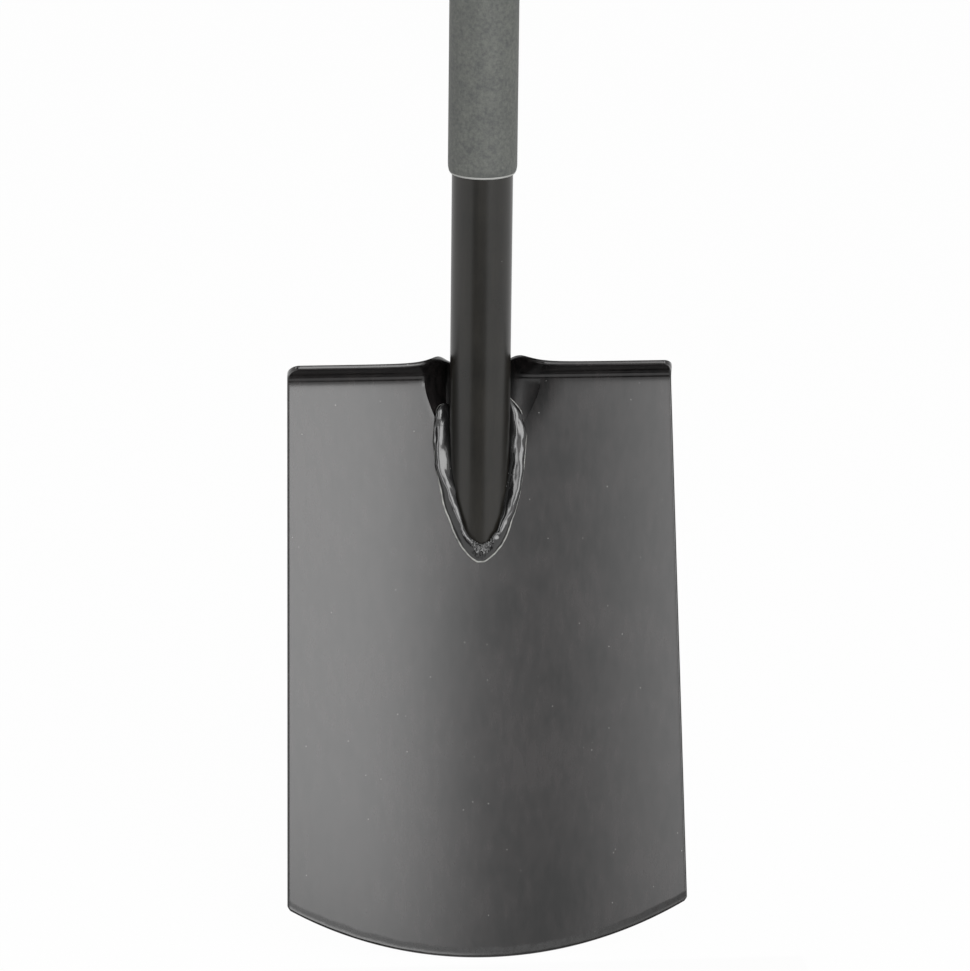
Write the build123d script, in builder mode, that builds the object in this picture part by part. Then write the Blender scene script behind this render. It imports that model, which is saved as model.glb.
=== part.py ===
"""Digging spade: pressed steel blade, cranked steel tube shaft with a plastic sleeve, and a moulded D grip.

Millimetres, +Z up along the shaft. The shaft axis is the Z axis and the hollow front of the blade faces -Y.
The origin lies on the shaft axis, where a rack clip holds the sleeve.
"""

from math import acos, atan2, cos, hypot, pi, radians, sin, sqrt, tan
import os

from build123d import *

os.makedirs("parts", exist_ok=True)

# Overall layout
overall_length = 1020
crank_angle = 16
clip_above_sleeve_end = 50
neck_length = 130

# Blade sheet
blade_width_bottom = 190
blade_width_top = 182
blade_length = 248
cutting_edge_radius = 186
blade_corner_radius = 2.8
hollow_depth = 8
sheet_thickness = 2
bevel_width = 3.8
bevel_depth = 1.2

# Turned treads at the blade's top edge
crease_above_joint = 28
tread_bend_angle = 75
tread_bend_radius = 3.5
tread_flat = 10.5
tread_corner_radius = 5.5
corner_overrun = 0.3

# Pressed trough that cradles the tube behind the treads
trough_side_blend = 24
trough_length = 55
trough_clearance = 0.4

# Shaft
tube_diameter = 28.6
tube_wall = 1.5
sleeve_wall = 1.9
sleeve_lip = 0.4
sleeve_end_taper = 4.4

# Welds
front_weld_side_leg = 7
front_weld_tip_leg = 6
front_weld_height = 2.6
front_weld_land = 0.3
front_weld_gap = 7
rear_weld_leg = 3
rear_weld_throat = 4.2
rear_weld_face = 3
rear_weld_wrap = 48

# D grip
grip_width = 126
grip_corner_radius = 18
grip_arm_width = 17
grip_plate_thickness = 22
grip_edge_round = 6.5
grip_bar_height = 22
grip_reach = 100
grip_side_drop = 24
grip_side_radius = 30
opening_corner_radius = 7
opening_side_radius = 14
opening_base_radius = 10
opening_above_yoke = 24
grip_cover_wall = 5.5
grip_cover_margin = 1
grip_cover_round = 4
grip_barrel = 1
socket_wall = 5.7
socket_length = 60
socket_bore_depth = 54
socket_flare = 1

# Rivet through the socket
rivet_diameter = 6
rivet_head_diameter = 10
rivet_head_height = 2.4
rivet_above_rim = 28
washer_diameter = 12.5
washer_thickness = 1.2
washer_clearance = 0.3
spot_face_depth = 1.6
plug_length = 46

# Derived sizes
crank = radians(crank_angle)
tube_radius = tube_diameter / 2
tube_bore_radius = tube_radius - tube_wall
sleeve_radius = tube_radius + sleeve_wall
half_bottom = blade_width_bottom / 2
half_top = blade_width_top / 2
sleeve_low = -clip_above_sleeve_end
joint_height = sleeve_low - neck_length
corner_v = crease_above_joint - blade_length
edge_sagitta = cutting_edge_radius - sqrt(cutting_edge_radius**2 - half_bottom**2)
tip_v = corner_v - edge_sagitta
tip_height = joint_height + tip_v * cos(crank)
trough_half_width = tube_radius + trough_side_blend
trough_depth = tube_radius / cos(crank) - crease_above_joint * tan(crank) + trough_clearance
grip_radius = grip_bar_height / 2 + grip_cover_wall
bar_height = tip_height + overall_length - grip_radius
yoke_height = bar_height - grip_reach
rim_height = yoke_height - socket_length
tube_top = rim_height + socket_bore_depth
socket_radius = tube_radius + socket_wall
rivet_height = rim_height + rivet_above_rim
washer_seat = socket_radius - spot_face_depth
behind_depth = 2 * tube_diameter
front_seat = Plane.XZ.offset(washer_seat)
rear_seat = Plane(origin=(0, washer_seat, 0), x_dir=(-1, 0, 0), z_dir=(0, 1, 0))

# Blade plane: X across the blade, Y up the blade, Z out of its hollow front
front = Vector(0, -cos(crank), sin(crank))
blade_plane = Plane(origin=(0, 0, joint_height), x_dir=(1, 0, 0), z_dir=front)
blade_up = Axis((0, 0, joint_height), (0, sin(crank), cos(crank)))
blade_out = Axis((0, 0, joint_height), front)


def trough_share(across):
    """Share of the trough's depth at a distance across the blade."""
    return 0.5 * (1 + cos(pi * min(abs(across) / trough_half_width, 1)))


def trough_fade(up):
    """Fade of the trough from the crease down the blade."""
    reach = min(max((up - crease_above_joint) / trough_length + 1, 0), 1)
    return reach * reach * (3 - 2 * reach)


def sheet_height(across, up):
    """Height of the sheet's front face over the blade plane, below the crease."""
    hollow = hollow_depth * (across / half_bottom) ** 2
    return hollow - trough_depth * trough_share(across) * trough_fade(up)


def front_point(across, run):
    """Point of the sheet's front face: run 0 to 1 is the blade, 1 to 2 the bend, 2 to 3 the flat tread."""
    low = tip_v - sheet_thickness
    if run <= 1:
        up = low + (crease_above_joint - low) * (1 - (1 - run) ** 1.6)
        return Vector(across, up, sheet_height(across, up))
    share = trough_share(across)
    turn = radians(tread_bend_angle * (1 - share) + crank_angle * share) * min(run - 1, 1)
    flat = tread_flat * max(run - 2, 0)
    up = crease_above_joint + tread_bend_radius * sin(turn) + flat * cos(turn)
    rise = tread_bend_radius * (1 - cos(turn)) + flat * sin(turn)
    return Vector(across, up, sheet_height(across, crease_above_joint) + rise)


def back_point(across, run):
    """Point of the sheet's back face, one sheet thickness behind the front face."""
    step = 0.001
    side = front_point(across + step, run) - front_point(across - step, run)
    ahead = front_point(across, run + step) if run < 1.5 else front_point(across, run)
    behind = front_point(across, run) if run < 1.5 else front_point(across, run - step)
    normal = side.cross(ahead - behind).normalized()
    return front_point(across, run) - normal * sheet_thickness


def sheet_face(point, rows):
    """Smooth face through a grid of points that a formula gives."""
    span = half_bottom + 2 * sheet_thickness
    columns = [span * k / 26 for k in range(-26, 27)]
    grid = [[blade_plane.from_local_coords(point(a, r)) for r in rows] for a in columns]
    return Face.make_surface_from_array_of_points(grid, tol=0.01)


def rim_face(axis, end):
    """Narrow face that joins the front and back faces along one of their four borders."""
    return Face.make_surface_from_curves(
        front_face.edges().sort_by(axis)[end],
        back_face.edges().sort_by(axis)[end],
    )


sheet_rows = [k / 24 for k in range(24)] + [1 + k / 8 for k in range(8)] + [2 + k / 4 for k in range(5)]
front_face = sheet_face(front_point, sheet_rows)
back_face = sheet_face(back_point, sheet_rows)
rims = [rim_face(Axis.X, 0), rim_face(Axis.X, -1), rim_face(blade_up, 0), rim_face(blade_up, -1)]


def half_width(up):
    """Half of the blade's width at a height along it."""
    return half_bottom + (half_top - half_bottom) * (up - corner_v) / blade_length


def bevel_point(across, share):
    """Point of the ground face of the cutting edge: share 0 is the edge, 1 the top of the bevel."""
    arc_centre = tip_v + cutting_edge_radius
    up = arc_centre - sqrt(cutting_edge_radius**2 - across**2) + bevel_width * share
    return Vector(across, up, sheet_height(across, up) - bevel_depth * (1 - share))


bevel_face = sheet_face(bevel_point, [k / 4 for k in range(-3, 8)])
tread_turn = radians(tread_bend_angle)
tread_rise = tread_bend_radius * sin(tread_turn) + tread_flat * cos(tread_turn)
tread_top = crease_above_joint + tread_rise + sheet_thickness * sin(tread_turn)
corner_start = tread_top + corner_overrun - tread_corner_radius
corner_side = half_width(corner_start)
corner_inset = corner_side - tread_corner_radius
outline_top = tread_top + tread_flat + tread_bend_radius

with BuildPart() as blade:
    add(Solid(Shell([front_face, back_face] + rims)))
    with BuildSketch(blade_plane) as outline:
        with BuildLine():
            ThreePointArc((half_bottom, corner_v), (0, tip_v), (-half_bottom, corner_v))
            Line((-half_bottom, corner_v), (-corner_side, corner_start))
            TangentArc(
                (-corner_side, corner_start),
                (-corner_inset, corner_start + tread_corner_radius),
                tangent=(0, 1),
            )
            Polyline(
                (-corner_inset, corner_start + tread_corner_radius),
                (-corner_inset, outline_top),
                (corner_inset, outline_top),
                (corner_inset, corner_start + tread_corner_radius),
            )
            TangentArc(
                (corner_side, corner_start),
                (corner_inset, corner_start + tread_corner_radius),
                tangent=(0, 1),
            )
            Line((corner_side, corner_start), (half_bottom, corner_v))
        make_face()
        fillet(outline.vertices().group_by(Axis.Y)[0], blade_corner_radius)
    extrude(amount=behind_depth, both=True, mode=Mode.INTERSECT)
    extrude(bevel_face, amount=behind_depth, dir=front, mode=Mode.SUBTRACT)

blade.part.label = "blade"
export_step(blade.part, "parts/blade.step")

with BuildPart() as shaft_tube:
    with Locations((0, 0, joint_height - behind_depth)):
        Cylinder(
            tube_radius,
            tube_top - joint_height + behind_depth,
            align=(Align.CENTER, Align.CENTER, Align.MIN),
        )
        Cylinder(
            tube_bore_radius,
            tube_top - joint_height + behind_depth,
            align=(Align.CENTER, Align.CENTER, Align.MIN),
            mode=Mode.SUBTRACT,
        )
    extrude(front_face, amount=behind_depth, dir=-front, mode=Mode.SUBTRACT)
    with BuildSketch(Plane.XZ):
        with Locations((0, rivet_height)):
            Circle(rivet_diameter / 2)
    extrude(amount=tube_diameter, both=True, mode=Mode.SUBTRACT)

shaft_tube.part.label = "shaft_tube"
export_step(shaft_tube.part, "parts/shaft_tube.step")


weld_half_width = tube_radius + front_weld_side_leg
weld_reach = tube_radius / sin(crank) + front_weld_tip_leg
weld_end = crease_above_joint - front_weld_gap
weld_foot = hollow_depth * (weld_half_width / half_bottom) ** 2
weld_round = front_weld_height - front_weld_land

with BuildPart() as front_weld:
    with BuildSketch(blade_plane.offset(-trough_depth)) as bead:
        Ellipse(weld_half_width, weld_reach)
        with Locations((0, weld_end)):
            Rectangle(
                2 * weld_half_width,
                weld_reach,
                align=(Align.CENTER, Align.MIN),
                mode=Mode.SUBTRACT,
            )
        fillet(bead.vertices().group_by(Axis.Y)[-1], front_weld_side_leg / 2)
    extrude(amount=trough_depth + weld_foot + front_weld_height)
    fillet(front_weld.faces().sort_by(blade_out)[-1].edges(), weld_round)
    with Locations((0, 0, joint_height - behind_depth)):
        Cylinder(
            tube_radius,
            2 * behind_depth,
            align=(Align.CENTER, Align.CENTER, Align.MIN),
            mode=Mode.SUBTRACT,
        )
    extrude(front_face, amount=behind_depth, dir=-front, mode=Mode.SUBTRACT)

front_weld.part.label = "front_weld"
export_step(front_weld.part, "parts/front_weld.step")

sheet_top_v = crease_above_joint + tread_bend_radius * sin(crank) + tread_flat * cos(crank)
sheet_top_w = tread_bend_radius * (1 - cos(crank)) + tread_flat * sin(crank) - trough_depth
sheet_top = joint_height + sheet_top_v * cos(crank) + sheet_top_w * sin(crank)

with BuildPart() as rear_weld:
    with BuildSketch(Plane.YZ.rotated((0, 0, -rear_weld_wrap))):
        with BuildLine():
            Polyline(
                (tube_radius, sheet_top - rear_weld_leg),
                (tube_radius, sheet_top + rear_weld_leg),
                (tube_radius + rear_weld_throat, sheet_top + rear_weld_face / 2),
                (tube_radius + rear_weld_throat, sheet_top - rear_weld_face / 2),
                close=True,
            )
        make_face()
    revolve(axis=Axis.Z, revolution_arc=2 * rear_weld_wrap)
    add(blade.part, mode=Mode.SUBTRACT)

rear_weld.part.label = "rear_weld"
export_step(rear_weld.part, "parts/rear_weld.step")

with BuildPart() as shaft_sleeve:
    with BuildSketch(Plane.XZ):
        with BuildLine():
            Polyline(
                (tube_radius + sleeve_lip, sleeve_low),
                (tube_radius, sleeve_low),
                (tube_radius, rim_height),
                (sleeve_radius, rim_height),
                (sleeve_radius, sleeve_low + sleeve_end_taper),
            )
            EllipticalCenterArc(
                (tube_radius + sleeve_lip, sleeve_low + sleeve_end_taper),
                sleeve_wall - sleeve_lip,
                sleeve_end_taper,
                start_angle=270,
                arc_size=90,
            )
        make_face()
    revolve(axis=Axis.Z)

shaft_sleeve.part.label = "shaft_sleeve"
export_step(shaft_sleeve.part, "parts/shaft_sleeve.step")

with BuildPart() as tube_plug:
    with Locations((0, 0, tube_top)):
        Cylinder(tube_bore_radius, plug_length, align=(Align.CENTER, Align.CENTER, Align.MAX))
    with BuildSketch(Plane.XZ):
        with Locations((0, rivet_height)):
            Circle(rivet_diameter / 2)
    extrude(amount=tube_diameter, both=True, mode=Mode.SUBTRACT)

tube_plug.part.label = "tube_plug"
export_step(tube_plug.part, "parts/tube_plug.step")

half_grip = grip_width / 2
bar_half = grip_bar_height / 2
opening_low = yoke_height + opening_above_yoke


def d_outline(half, top, corner, side_height, side_radius, base_height, base_radius):
    """Lines of a closed D: level top, upright sides and two straight arms that run down to a round base."""
    across = half - side_radius
    rise = side_height - base_height
    lean = atan2(rise, across) - acos((base_radius - side_radius) / hypot(across, rise))
    foot_x = base_radius * cos(lean)
    foot_z = base_height + base_radius * sin(lean)
    knee_x = across + side_radius * cos(lean)
    knee_z = side_height + side_radius * sin(lean)
    bulge_x = across + side_radius * cos(lean / 2)
    bulge_z = side_height + side_radius * sin(lean / 2)
    cut = corner * (1 - sqrt(0.5))
    Line((corner - half, top), (half - corner, top))
    for side in (-1, 1):
        ThreePointArc(
            (side * (half - corner), top),
            (side * (half - cut), top - cut),
            (side * half, top - corner),
        )
        Line((side * half, top - corner), (side * half, side_height))
        ThreePointArc((side * half, side_height), (side * bulge_x, bulge_z), (side * knee_x, knee_z))
        Line((side * knee_x, knee_z), (side * foot_x, foot_z))
    ThreePointArc((foot_x, foot_z), (0, base_height - base_radius), (-foot_x, foot_z))


with BuildPart() as handle_frame:
    with BuildSketch(Plane.XZ):
        with BuildLine():
            d_outline(
                half_grip,
                bar_height + bar_half,
                grip_corner_radius,
                bar_height - grip_side_drop,
                grip_side_radius,
                yoke_height + socket_radius,
                socket_radius,
            )
        make_face()
    extrude(amount=grip_plate_thickness / 2, both=True)
    with BuildSketch(Plane.XZ):
        with BuildLine():
            d_outline(
                half_grip - grip_arm_width,
                bar_height - bar_half,
                opening_corner_radius,
                bar_height - grip_side_drop,
                opening_side_radius,
                opening_low + opening_base_radius,
                opening_base_radius,
            )
        make_face()
    extrude(amount=grip_plate_thickness, both=True, mode=Mode.SUBTRACT)
    fillet(handle_frame.faces().filter_by(Axis.Y).edges(), grip_edge_round)
    with BuildSketch(Plane.XZ) as socket:
        with BuildLine():
            Polyline(
                (0, rim_height),
                (socket_radius - socket_flare, rim_height),
                (socket_radius, rim_height + socket_bore_depth),
                (grip_plate_thickness / 2, opening_low),
                (0, opening_low),
                close=True,
            )
        make_face()
        fillet(socket.vertices().sort_by(Axis.X)[-1], socket_radius)
    revolve(axis=Axis.Z)
    with Locations((0, 0, rim_height)):
        Cylinder(
            tube_radius,
            socket_bore_depth,
            align=(Align.CENTER, Align.CENTER, Align.MIN),
            mode=Mode.SUBTRACT,
        )
    with BuildSketch(Plane.XZ):
        with Locations((0, rivet_height)):
            Circle(rivet_diameter / 2)
    extrude(amount=2 * socket_radius, both=True, mode=Mode.SUBTRACT)
    with BuildSketch(front_seat, rear_seat):
        with Locations((0, rivet_height)):
            Circle(washer_diameter / 2 + washer_clearance)
    extrude(amount=socket_radius, mode=Mode.SUBTRACT)

handle_frame.part.label = "handle_frame"
export_step(handle_frame.part, "parts/handle_frame.step")

cover_half = half_grip - grip_arm_width - opening_corner_radius - grip_cover_margin

with BuildPart() as grip_cover:
    with BuildSketch(Plane.XZ) as cover:
        with BuildLine():
            Polyline(
                (-cover_half, bar_height + grip_radius - grip_barrel),
                (-cover_half, bar_height),
                (cover_half, bar_height),
                (cover_half, bar_height + grip_radius - grip_barrel),
            )
            ThreePointArc(
                (cover_half, bar_height + grip_radius - grip_barrel),
                (0, bar_height + grip_radius),
                (-cover_half, bar_height + grip_radius - grip_barrel),
            )
        make_face()
        fillet(cover.vertices().group_by(Axis.Y)[-1], grip_cover_round)
    revolve(axis=Axis((0, 0, bar_height), (1, 0, 0)))
    add(handle_frame.part, mode=Mode.SUBTRACT)

grip_cover.part.label = "grip_cover"
export_step(grip_cover.part, "parts/grip_cover.step")

with BuildPart() as rivet_washers:
    with BuildSketch(front_seat, rear_seat):
        with Locations((0, rivet_height)):
            Circle(washer_diameter / 2)
            Circle(rivet_diameter / 2, mode=Mode.SUBTRACT)
    extrude(amount=washer_thickness)

rivet_washers.part.label = "rivet_washers"
export_step(rivet_washers.part, "parts/rivet_washers.step")

rivet_half = washer_seat + washer_thickness
rivet_end = rivet_half + rivet_head_height
rivet_radius = rivet_diameter / 2
head_radius = rivet_head_diameter / 2

with BuildPart() as handle_rivet:
    with BuildSketch(Plane(origin=(0, 0, rivet_height), x_dir=(0, 1, 0), z_dir=(1, 0, 0))):
        with BuildLine():
            TangentArc((-rivet_end, 0), (-rivet_half, head_radius), tangent=(0, 1))
            Polyline(
                (-rivet_half, head_radius),
                (-rivet_half, rivet_radius),
                (rivet_half, rivet_radius),
                (rivet_half, head_radius),
            )
            TangentArc((rivet_end, 0), (rivet_half, head_radius), tangent=(0, 1))
            Line((rivet_end, 0), (-rivet_end, 0))
        make_face()
    revolve(axis=Axis((0, 0, rivet_height), (0, 1, 0)))

handle_rivet.part.label = "handle_rivet"
export_step(handle_rivet.part, "parts/handle_rivet.step")
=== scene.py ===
"""Looks of a digging spade: painted steel blade and shaft, moulded sleeve and D grip.

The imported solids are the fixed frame. The blade and its weld beads are modelled here, with folds,
rounded edges and lumps, and the other nodes keep their shape and get their finish. Metres, +Z up the
shaft, and the hollow front of the blade faces -Y.
"""

from __future__ import annotations

import logging
import math
import random
from collections.abc import Callable
from dataclasses import dataclass
from enum import Enum

import bmesh
import bpy
from mathutils import Matrix, Vector, noise

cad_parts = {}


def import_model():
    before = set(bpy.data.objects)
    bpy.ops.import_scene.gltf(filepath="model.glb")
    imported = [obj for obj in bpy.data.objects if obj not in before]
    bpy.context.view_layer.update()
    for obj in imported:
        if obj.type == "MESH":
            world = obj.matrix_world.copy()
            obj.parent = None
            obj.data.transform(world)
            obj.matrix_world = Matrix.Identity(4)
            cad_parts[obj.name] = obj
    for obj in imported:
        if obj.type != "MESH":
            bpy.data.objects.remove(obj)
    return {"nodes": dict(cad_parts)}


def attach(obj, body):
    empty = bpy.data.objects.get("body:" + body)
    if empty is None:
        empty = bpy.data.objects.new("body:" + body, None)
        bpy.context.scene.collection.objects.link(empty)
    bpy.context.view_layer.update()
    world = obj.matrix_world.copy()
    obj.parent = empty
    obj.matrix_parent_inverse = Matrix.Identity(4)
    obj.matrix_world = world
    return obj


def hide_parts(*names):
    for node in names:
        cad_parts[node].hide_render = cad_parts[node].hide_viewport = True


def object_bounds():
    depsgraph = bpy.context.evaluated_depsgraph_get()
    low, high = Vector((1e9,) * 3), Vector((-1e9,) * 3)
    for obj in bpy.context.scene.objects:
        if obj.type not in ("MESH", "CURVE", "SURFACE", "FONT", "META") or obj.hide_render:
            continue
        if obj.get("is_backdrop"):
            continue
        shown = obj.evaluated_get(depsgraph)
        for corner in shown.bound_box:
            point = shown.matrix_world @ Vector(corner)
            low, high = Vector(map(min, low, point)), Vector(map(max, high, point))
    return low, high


log = logging.getLogger("spade")

MM = 0.001
BODY = "root"

# Most values of a noise texture lie between these two.
NOISE_LOW, NOISE_HIGH = 0.3, 0.7


class Slot(Enum):
    """Material slots of the record, named for the pieces modelled here."""

    BLADE = "blade_paint"
    WELD = "weld_paint"


class BeadEnd(Enum):
    """How a weld bead ends."""

    ROUND = "round"
    POINTED = "pointed"


def linear(colour: str) -> tuple[float, float, float, float]:
    """Turn an sRGB hex colour into linear red, green, blue and alpha.

    Args:
        colour: Hex colour such as "#8a8a88".

    Returns:
        Linear channels from 0 to 1, with an alpha of 1.
    """
    channels = [int(colour[k : k + 2], 16) / 255 for k in (1, 3, 5)]
    made = [c / 12.92 if c <= 0.04045 else ((c + 0.055) / 1.055) ** 2.4 for c in channels]
    return made[0], made[1], made[2], 1.0


def per_metre(size_mm: float) -> float:
    """Texture scale that gives a pattern one repeat in a size in millimetres."""
    return 1 / (size_mm * MM)


def add_node(
    tree: bpy.types.NodeTree,
    kind: str,
    inputs: dict[str | int, object] | None = None,
    **settings: object,
) -> bpy.types.Node:
    """Add one node with its settings and links.

    Args:
        tree: Node tree that gets the node.
        kind: Blender's name for the kind of node.
        inputs: A value, or an output socket to link from, for each input by name or place.
        settings: Attributes of the node itself.

    Returns:
        The new node.
    """
    node = tree.nodes.new(kind)
    for name, value in settings.items():
        setattr(node, name, value)
    for key, value in (inputs or {}).items():
        if isinstance(value, bpy.types.NodeSocket):
            tree.links.new(value, node.inputs[key])
        else:
            node.inputs[key].default_value = value
    return node


def cleared_tree(owner: bpy.types.Material | bpy.types.World | bpy.types.Light) -> bpy.types.NodeTree:
    """Give a material, world or lamp an empty node tree, and return the tree."""
    owner.use_nodes = True
    owner.node_tree.nodes.clear()
    return owner.node_tree


def towards(azimuth: float, elevation: float = 0.0) -> Vector:
    """Direction of a bearing, in degrees to the right of straight in front and above level."""
    turn, rise = math.radians(azimuth), math.radians(elevation)
    level = math.cos(rise)
    return Vector((math.sin(turn) * level, -math.cos(turn) * level, math.sin(rise)))


def smoothstep(value: float) -> float:
    """Ease from 0 to 1 with level ends, clamped outside."""
    share = min(max(value, 0.0), 1.0)
    return share * share * (3 - 2 * share)


@dataclass(frozen=True)
class Finish:
    """A finish: the base of every material of the spade.

    Attributes:
        name: Name of the material.
        colour: Main colour, sRGB hex.
        roughness: Roughness of the surface.
        ior: Index of refraction of the coat or plastic.
    """

    name: str
    colour: str
    roughness: float
    ior: float

    def dress(self, tree: bpy.types.NodeTree, shader: bpy.types.Node) -> None:
        """Add the finish's own pattern to the shader.

        Args:
            tree: Node tree of the material.
            shader: Principled shader, which has the plain values already.
        """

    def material(self) -> bpy.types.Material:
        """Make the material, or return the one made before."""
        made = bpy.data.materials.get(self.name)
        if made is not None:
            return made
        made = bpy.data.materials.new(self.name)
        tree = cleared_tree(made)
        plain = {"Base Color": linear(self.colour), "Roughness": self.roughness, "IOR": self.ior}
        shader = add_node(tree, "ShaderNodeBsdfPrincipled", plain)
        add_node(tree, "ShaderNodeOutputMaterial", {"Surface": shader.outputs["BSDF"]})
        self.dress(tree, shader)
        return made


@dataclass(frozen=True)
class StovedEnamel(Finish):
    """Black enamel dipped and stoved on steel: a satin film, cloudy, dusty and with orange peel.

    Attributes:
        cloud_colour: Colour where the film is thin.
        cloud_mm: Size of the clouds.
        thin_range: Sums of clouds and runs where the film starts to thin and where it is thinnest.
        gloss_spread: Share by which the roughness differs with the clouds.
        run_mm: Width of the faint runs, down which the film drained.
        run_length_mm: Length of those runs.
        peel_mm: Size of the orange peel's waves.
        peel_depth_mm: Depth of those waves.
        speck_colour: Colour of the dust on the film.
        speck_spacing_mm: Mean distance between specks.
        speck_mm: Radius of a speck.
        speck_share: Share of the spaces that hold a speck.
        coat: Weight of a second, wet looking layer.
        coat_roughness: Roughness of that layer.
        wear_and_highlight_colour: Colour of the marked places: wear on the blade's bevel, painted
            highlight on the weld's toe rim.
        wear_and_highlight_roughness: Roughness there.
        wear_and_highlight_mm: Size of the patches in the marked places.
        wear_and_highlight_range: Noise values where a patch starts and where it is full.
        wear_and_highlight_least: Share of the marked colour between the patches.
        specular: Specular level of the film.
        painted_shade_specular: Lower specular level where the mesh marks a painted shade beside the
            trough's right fold.
    """

    cloud_colour: str
    cloud_mm: float = 55.0
    thin_range: tuple[float, float] = (0.8, 1.2)
    gloss_spread: float = 0.06
    run_mm: float = 5.0
    run_length_mm: float = 45.0
    peel_mm: float = 1.6
    peel_depth_mm: float = 0.0018
    speck_colour: str = "#7a7a78"
    speck_spacing_mm: float = 9.5
    speck_mm: float = 0.28
    speck_share: float = 0.55
    coat: float = 0.0
    coat_roughness: float = 0.08
    wear_and_highlight_colour: str = "#181818"
    wear_and_highlight_roughness: float = 0.32
    wear_and_highlight_mm: float = 2.4
    wear_and_highlight_range: tuple[float, float] = (0.3, 0.6)
    wear_and_highlight_least: float = 0.3
    specular: float = 0.5
    painted_shade_specular: float = 0.13

    def dress(self, tree: bpy.types.NodeTree, shader: bpy.types.Node) -> None:
        """Add clouds, runs, dust, wear and painted highlight, painted shade and orange peel.

        Args:
            tree: Node tree of the material.
            shader: Principled shader of the film.
        """
        shader.inputs["Coat Weight"].default_value = self.coat
        shader.inputs["Coat Roughness"].default_value = self.coat_roughness
        place = add_node(tree, "ShaderNodeTexCoord").outputs["Object"]
        cloud = add_node(
            tree,
            "ShaderNodeTexNoise",
            {"Vector": place, "Scale": per_metre(self.cloud_mm), "Detail": 4.0, "Roughness": 0.6},
        )
        across, along = per_metre(self.run_mm), per_metre(self.run_length_mm)
        drawn = add_node(
            tree,
            "ShaderNodeVectorMath",
            {0: place, 1: (across, across, along)},
            operation="MULTIPLY",
        )
        runs = add_node(
            tree,
            "ShaderNodeTexNoise",
            {"Vector": drawn.outputs["Vector"], "Scale": 1.0, "Detail": 5.0, "Roughness": 0.65},
        )
        both = add_node(
            tree,
            "ShaderNodeMath",
            {0: cloud.outputs["Fac"], 1: runs.outputs["Fac"]},
            operation="ADD",
        )
        thick, thinnest = self.thin_range
        thin = add_node(
            tree,
            "ShaderNodeMapRange",
            {"Value": both.outputs["Value"], "From Min": thick, "From Max": thinnest},
        )
        film = add_node(
            tree,
            "ShaderNodeMix",
            {
                "Factor": thin.outputs["Result"],
                "A": linear(self.colour),
                "B": linear(self.cloud_colour),
            },
            data_type="RGBA",
        )
        cells = add_node(
            tree,
            "ShaderNodeTexVoronoi",
            {"Vector": place, "Scale": per_metre(self.speck_spacing_mm)},
        )
        near = add_node(
            tree,
            "ShaderNodeMath",
            {0: cells.outputs["Distance"], 1: self.speck_mm / self.speck_spacing_mm},
            operation="LESS_THAN",
        )
        kept = add_node(
            tree,
            "ShaderNodeMath",
            {0: cells.outputs["Color"], 1: self.speck_share},
            operation="LESS_THAN",
        )
        speck = add_node(
            tree,
            "ShaderNodeMath",
            {0: near.outputs["Value"], 1: kept.outputs["Value"]},
            operation="MULTIPLY",
        )
        colour = add_node(
            tree,
            "ShaderNodeMix",
            {
                "Factor": speck.outputs["Value"],
                "A": film.outputs["Result"],
                "B": linear(self.speck_colour),
            },
            data_type="RGBA",
        )
        gloss = add_node(
            tree,
            "ShaderNodeMapRange",
            {
                "Value": cloud.outputs["Fac"],
                "From Min": NOISE_LOW,
                "From Max": NOISE_HIGH,
                "To Min": self.roughness * (1 - self.gloss_spread),
                "To Max": self.roughness * (1 + self.gloss_spread),
            },
        )
        # Painted shade: where the mesh marks it, the specular level drops so the plate beside the
        # trough's right fold reads dark.
        painted_shade = add_node(tree, "ShaderNodeAttribute", attribute_name="painted_shade")
        shine = add_node(
            tree,
            "ShaderNodeMapRange",
            {"Value": painted_shade.outputs["Fac"], "To Min": self.specular, "To Max": self.painted_shade_specular},
        )
        tree.links.new(shine.outputs["Result"], shader.inputs["Specular IOR Level"])
        # Real wear on the blade's bevel, and a painted highlight on the weld's toe rim.
        wear_and_highlight = self.wear_and_highlight(tree, place)
        paler_edge = add_node(
            tree,
            "ShaderNodeMix",
            {"Factor": wear_and_highlight, "A": colour.outputs["Result"], "B": linear(self.wear_and_highlight_colour)},
            data_type="RGBA",
        )
        tree.links.new(paler_edge.outputs["Result"], shader.inputs["Base Color"])
        dull = add_node(
            tree,
            "ShaderNodeMapRange",
            {"Value": wear_and_highlight, "To Min": gloss.outputs["Result"], "To Max": self.wear_and_highlight_roughness},
        )
        tree.links.new(dull.outputs["Result"], shader.inputs["Roughness"])
        peel = add_node(
            tree,
            "ShaderNodeTexNoise",
            {"Vector": place, "Scale": per_metre(self.peel_mm), "Detail": 2.0},
        )
        bump = add_node(
            tree,
            "ShaderNodeBump",
            {"Height": peel.outputs["Fac"], "Distance": self.peel_depth_mm * MM},
        )
        tree.links.new(bump.outputs["Normal"], shader.inputs["Normal"])

    def wear_and_highlight(self, tree: bpy.types.NodeTree, place: bpy.types.NodeSocket) -> bpy.types.NodeSocket:
        """Add the patchy share of wear and painted highlight, from the mesh's own attribute.

        Args:
            tree: Node tree of the material.
            place: Socket of the Object coordinates.

        Returns:
            Socket with the share, from 0 to 1.
        """
        mark = add_node(tree, "ShaderNodeAttribute", attribute_name="wear_and_highlight")
        patch = add_node(
            tree,
            "ShaderNodeTexNoise",
            {"Vector": place, "Scale": per_metre(self.wear_and_highlight_mm), "Detail": 2.0},
        )
        low, high = self.wear_and_highlight_range
        share = add_node(
            tree,
            "ShaderNodeMapRange",
            {
                "Value": patch.outputs["Fac"],
                "From Min": low,
                "From Max": high,
                "To Min": self.wear_and_highlight_least,
            },
        )
        both = add_node(
            tree,
            "ShaderNodeMath",
            {0: mark.outputs["Fac"], 1: share.outputs["Result"]},
            operation="MULTIPLY",
        )
        return both.outputs["Value"]


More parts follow.
